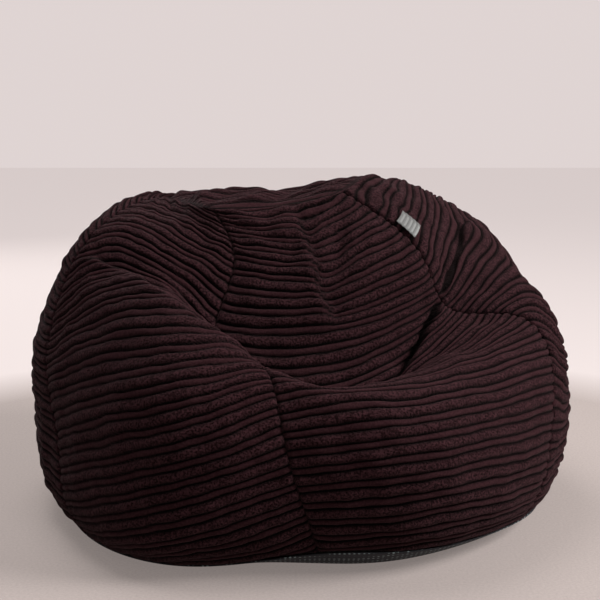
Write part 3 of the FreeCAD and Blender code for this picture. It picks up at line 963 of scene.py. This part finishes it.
def rubbed_metal():
    paint = Paint("rubbed_metal", Metallic=1.0)
    rubbed = paint.ramp(paint.noise(160, 4.0), 0.35, 0.65)
    brushed = paint.node("ShaderNodeTexWave", {"wave_type": "BANDS", "bands_direction": "Y"},
                         {"Vector": paint.place(), "Scale": 900, "Distortion": 3.0}, out="Fac")
    return paint.finish(Base_Color=paint.mix(rubbed, (0.16, 0.16, 0.17, 1), (0.42, 0.41, 0.40, 1)),
                        Roughness=0.32 + 0.2 * rubbed, Normal=paint.bump(brushed, 0.00008, 0.5))


liner_finish = woven("liner_weave", (0.40, 0.39, 0.36, 1), (0.74, 0.72, 0.68, 1))
cover_tape_finish = woven("dark_zip_tape", (0.004, 0.004, 0.005, 1), (0.022, 0.020, 0.022, 1), 260, 0.0003)
liner_tape_finish = woven("pale_zip_tape", (0.34, 0.33, 0.31, 1), (0.66, 0.65, 0.62, 1), 260, 0.0003)
bead_finish = beads()
label_finish = satin_label("grey_label", (0.105, 0.105, 0.103, 1), (0.20, 0.205, 0.20, 1))
care_finish = satin_label("care_label", (0.62, 0.62, 0.60, 1), (0.05, 0.05, 0.055, 1))
teeth_finish = moulded_teeth()
metal_finish = rubbed_metal()

# %% [markdown]
# ## Put together
# Every piece takes its finish as a material slot, hides the CAD solid it stands for, and is attached to
# what it moves with.

# %% Put the pieces in place
def put(piece, node, finish):
    piece.data.materials.append(finish)
    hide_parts(node)
    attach(piece, ROOT)


for name, piece in gores.items():
    put(piece, name, cord_finish)
put(top_panel, "top_panel", cord_finish)
put(base_front, "base_panel_front", base_finish)
put(base_back, "base_panel_back", base_finish)
put(seam_tag, "seam_label", label_finish)
put(care_tag, "care_label", care_finish)
put(liner_right, "liner_right", liner_finish)
put(liner_left, "liner_left", liner_finish)
put(liner_top, "liner_top", liner_finish)
put(liner_front, "liner_base_front", liner_finish)
put(liner_back, "liner_base_back", liner_finish)
put(heap, "bead_filling", bead_finish)

# %% [markdown]
# ## Zips
# The zip parts are right as they came from CAD, so they stay, and only their material slots change.

# %% Finish the zips where they lie
def dress(node, finish):
    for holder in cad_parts[node].material_slots:
        holder.link = "OBJECT"
        holder.material = finish


for zip_name, tape_finish in (("cover", cover_tape_finish), ("liner", liner_tape_finish)):
    for half in ("front", "back"):
        dress(zip_name + "_zip_tape_" + half, tape_finish)
        dress(zip_name + "_zip_teeth_" + half, teeth_finish)
    for end in ("left", "right"):
        dress(zip_name + "_zip_stop_" + end, metal_finish)
    dress(zip_name + "_zip_slider", metal_finish)

# %% [markdown]
# ## Floor
# A plain pale floor, darker on a wide disc round the bag. Its brightness is partly painted light: it glows,
# weakly on the disc and strongly beyond it, so that the shadow on it stays soft and the far floor looks
# pale.

# %% Floor
floor_mesh = bpy.data.meshes.new("floor")
floor_mesh.from_pydata([(-9, -9, 0), (9, -9, 0), (9, 9, 0), (-9, 9, 0)], [], [(0, 1, 2, 3)])
floor = bpy.data.objects.new("floor", floor_mesh)
floor.location.z = -0.0015
bpy.context.scene.collection.objects.link(floor)
ground = Paint("pale_floor", Roughness=0.9, Specular_IOR_Level=0.1, Emission_Strength=1.0)
nearness = ground.node("ShaderNodeTexGradient", {"gradient_type": "SPHERICAL"},
                       {"Vector": ground.node("ShaderNodeMapping", {}, {"Vector": ground.place(),
                                                                        "Scale": (0.62, 0.62, 0.62)})})
near = ground.ramp(nearness, 0.30, 0.46)
pile = ground.ramp(ground.noise(260, 3.0), 0.3, 0.7)
ground.finish(Base_Color=ground.mix(near, (0.16, 0.145, 0.14, 1), ground.mix(pile, (0.19, 0.165, 0.155, 1),
                                                                           (0.25, 0.215, 0.205, 1))),
              # painted light: the floor's glow, dim on the disc round the bag and bright beyond it
              Emission_Color=ground.mix(near, (0.64, 0.565, 0.555, 1), (0.20, 0.172, 0.163, 1)))
floor.data.materials.append(ground.material)

# %% [markdown]
# ## Light
# Four discs of light, each turned to face the bag. The world looks bright behind the bag but lights it
# dimly, so the grooves between the wales stay dark.

# %% Lights
def soft_light(name, place, target, size, power, tint):
    data = bpy.data.lights.new(name, "AREA")
    data.shape = "DISK"
    data.size, data.energy, data.color = size, power, tint
    light = bpy.data.objects.new(name, data)
    light.location = place
    light.rotation_euler = (Vector(target) - Vector(place)).to_track_quat("-Z", "Y").to_euler()
    bpy.context.scene.collection.objects.link(light)


soft_light("window", (2.7, -0.8, 2.0), (0, 0, 0.2), 1.5, 175, (1.0, 0.98, 0.97))
soft_light("room", (-0.4, -2.8, 2.6), (0, 0, 0.2), 2.4, 12, (1.0, 0.96, 0.94))
soft_light("ceiling", (-0.6, 0.2, 2.9), (-0.1, 0, 0.3), 1.6, 50, (1.0, 0.98, 0.97))
soft_light("doorway", (-1.4, 2.8, 1.7), (0, 0, 0.2), 1.8, 55, (1.0, 0.97, 0.96))
world = bpy.data.worlds.new("room_light")
world.use_nodes = True
sky = world.node_tree.nodes["Background"]
sky.inputs["Color"].default_value = (0.87, 0.80, 0.78, 1)
sky.inputs["Strength"].default_value = 0.22
backdrop = world.node_tree.nodes.new("ShaderNodeBackground")
backdrop.inputs["Color"].default_value = (0.74, 0.66, 0.65, 1)
seen = world.node_tree.nodes.new("ShaderNodeLightPath")
either = world.node_tree.nodes.new("ShaderNodeMixShader")
world.node_tree.links.new(seen.outputs["Is Camera Ray"], either.inputs[0])
world.node_tree.links.new(sky.outputs[0], either.inputs[1])
world.node_tree.links.new(backdrop.outputs[0], either.inputs[2])
world.node_tree.links.new(either.outputs[0], world.node_tree.nodes["World Output"].inputs["Surface"])
bpy.context.scene.world = world
